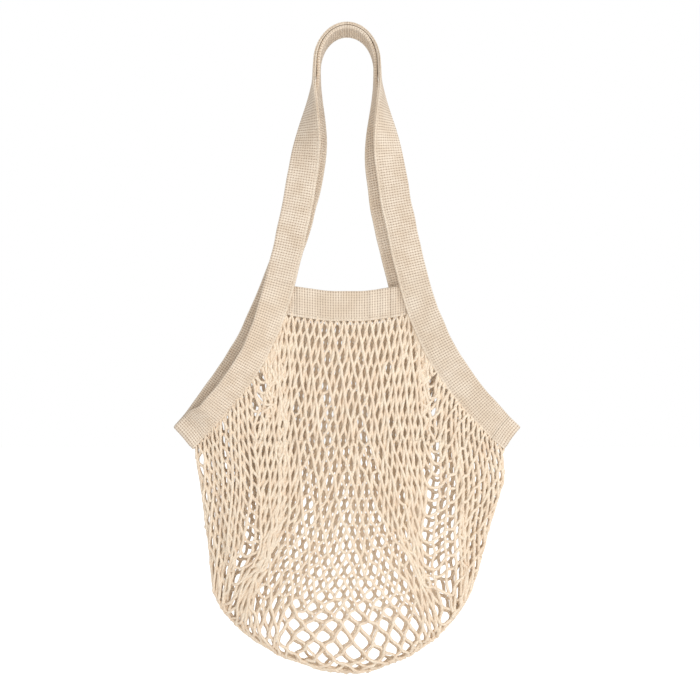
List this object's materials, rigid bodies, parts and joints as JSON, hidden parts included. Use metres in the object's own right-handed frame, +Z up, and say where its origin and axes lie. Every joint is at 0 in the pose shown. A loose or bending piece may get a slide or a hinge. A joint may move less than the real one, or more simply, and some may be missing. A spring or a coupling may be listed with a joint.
{
  "type": "mesh produce bag",
  "caption": "Long-handled net bag: a soft knotless cotton mesh hanging in a rim of folded cotton tape that runs on as two shoulder handles.",
  "frame": {"origin": "where the handles rest on their hook, at the underside of the inner handle's arch", "axes": "+Z up, -Y towards the front of the bag, +X to the right seen from the front"},
  "size_m": [0.3582, 0.0548, 0.6492],
  "materials": {
    "cotton_tape": "basket-woven unbleached cotton tape",
    "cotton_net": "two-ply unbleached cotton string",
    "cotton_thread": "fine cotton sewing thread"
  },
  "bodies": {
    "bag": {"left_corner_fold": "cotton_tape", "right_corner_fold": "cotton_tape", "front_net_lower": "cotton_net", "back_net_lower": "cotton_net"},
    "front_rim": {"front_mouth_band": "cotton_tape", "front_band_stitching": "cotton_thread", "front_band_tacks": "cotton_thread", "front_left_binding": "cotton_tape", "front_right_binding": "cotton_tape", "front_binding_stitching": "cotton_thread", "front_net_upper": "cotton_net"},
    "back_rim": {"back_mouth_band": "cotton_tape", "back_band_stitching": "cotton_thread", "back_band_tacks": "cotton_thread", "back_left_binding": "cotton_tape", "back_right_binding": "cotton_tape", "back_binding_stitching": "cotton_thread", "back_net_upper": "cotton_net"},
    "front_handle": {"front_handle_left": "cotton_tape", "front_handle_right": "cotton_tape", "front_handle_join": "cotton_thread", "front_handle_stitching": "cotton_thread"},
    "back_handle": {"back_handle_left": "cotton_tape", "back_handle_right": "cotton_tape", "back_handle_join": "cotton_thread", "back_handle_stitching": "cotton_thread"}
  },
  "joints": [
    {"name": "front_mouth_opening", "type": "hinge", "parent": "bag", "child": "front_rim", "pos_m": [0, -0.0093, -0.40875], "axis": [1, 0, 0], "range_deg": [0, 30]},
    {"name": "front_handle_fold", "type": "hinge", "parent": "front_rim", "child": "front_handle", "pos_m": [0, -0.0149, -0.254], "axis": [1, 0, 0], "range_deg": [0, 150]},
    {"name": "back_mouth_opening", "type": "hinge", "parent": "bag", "child": "back_rim", "pos_m": [0, 0.0093, -0.40875], "axis": [-1, 0, 0], "range_deg": [0, 30]},
    {"name": "back_handle_fold", "type": "hinge", "parent": "back_rim", "child": "back_handle", "pos_m": [0, 0.0149, -0.254], "axis": [-1, 0, 0], "range_deg": [0, 150]}
  ]
}
